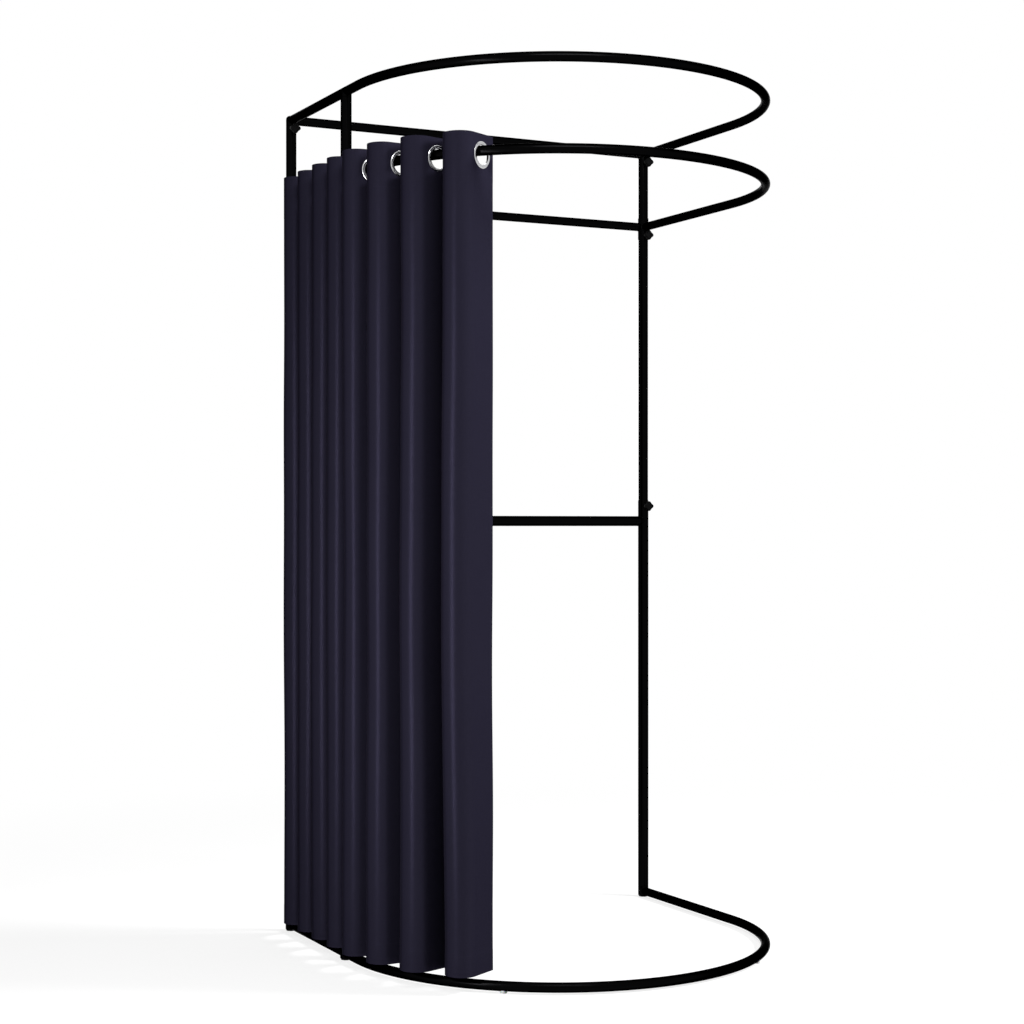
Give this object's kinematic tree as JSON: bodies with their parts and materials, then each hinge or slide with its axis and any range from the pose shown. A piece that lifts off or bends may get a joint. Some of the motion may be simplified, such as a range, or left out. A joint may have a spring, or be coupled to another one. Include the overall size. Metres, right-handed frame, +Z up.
{
  "type": "portable fitting room",
  "caption": "Portable fitting room: height-adjustable black tube frame of U-shaped hoops on uprights, with a dark curtain gathered on eyelets on one side.",
  "frame": {"origin": "middle of the bottom of the whole box, on the floor", "axes": "+Z up, -Y towards the front of the bow, +X to the right of someone who faces the room from the front"},
  "size_m": [1.067, 0.9564, 2],
  "materials": {
    "frame_paint": "satin black powder coat",
    "screw_plastic": "moulded black plastic",
    "foot_rubber": "matt black rubber",
    "glide_rubber": "pale translucent rubber",
    "eyelet_chrome": "polished",
    "curtain_cloth": "dark navy woven polyester, matt"
  },
  "bodies": {
    "lower_frame": {"base_side_left": "frame_paint", "base_side_right": "frame_paint", "base_bow": "frame_paint", "lower_upright_rear_left": "frame_paint", "lower_upright_front_left": "frame_paint", "lower_upright_rear_right": "frame_paint", "cross_bar": "frame_paint", "foot_rear_left": "foot_rubber", "foot_front_left": "foot_rubber", "foot_rear_right": "foot_rubber", "glide_left": "glide_rubber", "glide_right": "glide_rubber"},
    "upper_frame": {"upper_upright_rear_left": "frame_paint", "upper_upright_front_left": "frame_paint", "upper_upright_rear_right": "frame_paint", "top_side_left": "frame_paint", "top_side_right": "frame_paint", "top_bow": "frame_paint", "top_back_bar": "frame_paint"},
    "rail_hoop": {"rail_side_left": "frame_paint", "rail_side_right": "frame_paint", "rail_bow": "frame_paint", "rail_back_bar": "frame_paint", "curtain_rear": "curtain_cloth", "curtain_pleat_07": "curtain_cloth", "curtain_pleat_08": "curtain_cloth", "eyelet_01": "eyelet_chrome", "eyelet_02": "eyelet_chrome", "eyelet_03": "eyelet_chrome", "eyelet_04": "eyelet_chrome", "eyelet_05": "eyelet_chrome", "eyelet_06": "eyelet_chrome", "eyelet_07": "eyelet_chrome", "eyelet_08": "eyelet_chrome"},
    "pleat_09": {"curtain_pleat_09": "curtain_cloth", "eyelet_09": "eyelet_chrome"},
    "pleat_10": {"curtain_pleat_10": "curtain_cloth", "eyelet_10": "eyelet_chrome"},
    "pleat_11": {"curtain_pleat_11": "curtain_cloth", "eyelet_11": "eyelet_chrome"},
    "pleat_12": {"curtain_pleat_12": "curtain_cloth", "eyelet_12": "eyelet_chrome"},
    "pleat_13": {"curtain_pleat_13": "curtain_cloth", "eyelet_13": "eyelet_chrome"},
    "pleat_14": {"curtain_pleat_14": "curtain_cloth", "eyelet_14": "eyelet_chrome"},
    "pleat_15": {"curtain_pleat_15": "curtain_cloth", "eyelet_15": "eyelet_chrome"},
    "pleat_16": {"curtain_pleat_16": "curtain_cloth", "eyelet_16": "eyelet_chrome"},
    "top_screw_rear_left": {"top_screw_rear_left": "screw_plastic"},
    "top_screw_rear_right": {"top_screw_rear_right": "screw_plastic"},
    "rail_screw_rear_left": {"rail_screw_rear_left": "screw_plastic"},
    "rail_screw_front_left": {"rail_screw_front_left": "screw_plastic"},
    "rail_screw_rear_right": {"rail_screw_rear_right": "screw_plastic"},
    "clamp_screw_rear_left": {"clamp_screw_rear_left": "screw_plastic"},
    "clamp_screw_front_left": {"clamp_screw_front_left": "screw_plastic"},
    "clamp_screw_rear_right": {"clamp_screw_rear_right": "screw_plastic"}
  },
  "joints": [
    {"name": "height_adjust", "type": "slide", "parent": "lower_frame", "child": "upper_frame", "axis": [0, 0, 1], "range_m": [0, 0.15]},
    {"name": "rail_height", "type": "slide", "parent": "upper_frame", "child": "rail_hoop", "axis": [0, 0, 1], "range_m": [0, 0.1]},
    {"name": "curtain_draw", "type": "hinge", "parent": "rail_hoop", "child": "pleat_09", "pos_m": [0.01974, 0.03245, 1.794], "axis": [0, 0, 1], "range_deg": [0, 4.6]},
    {"name": "pleat_10_draw", "type": "hinge", "parent": "pleat_09", "child": "pleat_10", "pos_m": [0.01974, 0.03245, 1.794], "axis": [0, 0, 1], "range_deg": [0, 4.6]},
    {"name": "pleat_11_draw", "type": "hinge", "parent": "pleat_10", "child": "pleat_11", "pos_m": [0.01974, 0.03245, 1.794], "axis": [0, 0, 1], "range_deg": [0, 4.6]},
    {"name": "pleat_12_draw", "type": "hinge", "parent": "pleat_11", "child": "pleat_12", "pos_m": [0.01974, 0.03245, 1.794], "axis": [0, 0, 1], "range_deg": [0, 4.6]},
    {"name": "pleat_13_draw", "type": "hinge", "parent": "pleat_12", "child": "pleat_13", "pos_m": [0.01974, 0.03245, 1.794], "axis": [0, 0, 1], "range_deg": [0, 4.6]},
    {"name": "pleat_14_draw", "type": "hinge", "parent": "pleat_13", "child": "pleat_14", "pos_m": [0.01974, 0.03245, 1.794], "axis": [0, 0, 1], "range_deg": [0, 4.6]},
    {"name": "pleat_15_draw", "type": "hinge", "parent": "pleat_14", "child": "pleat_15", "pos_m": [0.01974, 0.03245, 1.794], "axis": [0, 0, 1], "range_deg": [0, 4.6]},
    {"name": "pleat_16_draw", "type": "hinge", "parent": "pleat_15", "child": "pleat_16", "pos_m": [0.01974, 0.03245, 1.794], "axis": [0, 0, 1], "range_deg": [0, 4.6]},
    {"name": "top_screw_rear_left_turn", "type": "hinge", "parent": "upper_frame", "child": "top_screw_rear_left", "pos_m": [-0.48026, 0.46445, 1.965], "axis": [0, -1, 0], "range_deg": [0, 360]},
    {"name": "top_screw_rear_right_turn", "type": "hinge", "parent": "upper_frame", "child": "top_screw_rear_right", "pos_m": [0.51974, 0.46445, 1.965], "axis": [0, -1, 0], "range_deg": [0, 360]},
    {"name": "rail_screw_rear_left_turn", "type": "hinge", "parent": "rail_hoop", "child": "rail_screw_rear_left", "pos_m": [-0.48026, 0.46445, 1.77], "axis": [1, 0, 0], "range_deg": [0, 360]},
    {"name": "rail_screw_front_left_turn", "type": "hinge", "parent": "rail_hoop", "child": "rail_screw_front_left", "pos_m": [-0.48026, 0.10145, 1.77], "axis": [1, 0, 0], "range_deg": [0, 360]},
    {"name": "rail_screw_rear_right_turn", "type": "hinge", "parent": "rail_hoop", "child": "rail_screw_rear_right", "pos_m": [0.51974, 0.46445, 1.77], "axis": [0, -1, 0], "range_deg": [0, 360]},
    {"name": "clamp_screw_rear_left_turn", "type": "hinge", "parent": "lower_frame", "child": "clamp_screw_rear_left", "pos_m": [-0.48026, 0.46445, 1.046], "axis": [1, 0, 0], "range_deg": [0, 360]},
    {"name": "clamp_screw_front_left_turn", "type": "hinge", "parent": "lower_frame", "child": "clamp_screw_front_left", "pos_m": [-0.48026, 0.10145, 1.046], "axis": [1, 0, 0], "range_deg": [0, 360]},
    {"name": "clamp_screw_rear_right_turn", "type": "hinge", "parent": "lower_frame", "child": "clamp_screw_rear_right", "pos_m": [0.51974, 0.46445, 1.046], "axis": [0, -1, 0], "range_deg": [0, 360]}
  ],
  "couplings": [
    {"joint": "pleat_10_draw", "follows": "curtain_draw", "ratio": 1},
    {"joint": "pleat_11_draw", "follows": "curtain_draw", "ratio": 1},
    {"joint": "pleat_12_draw", "follows": "curtain_draw", "ratio": 1},
    {"joint": "pleat_13_draw", "follows": "curtain_draw", "ratio": 1},
    {"joint": "pleat_14_draw", "follows": "curtain_draw", "ratio": 1},
    {"joint": "pleat_15_draw", "follows": "curtain_draw", "ratio": 1},
    {"joint": "pleat_16_draw", "follows": "curtain_draw", "ratio": 1}
  ]
}
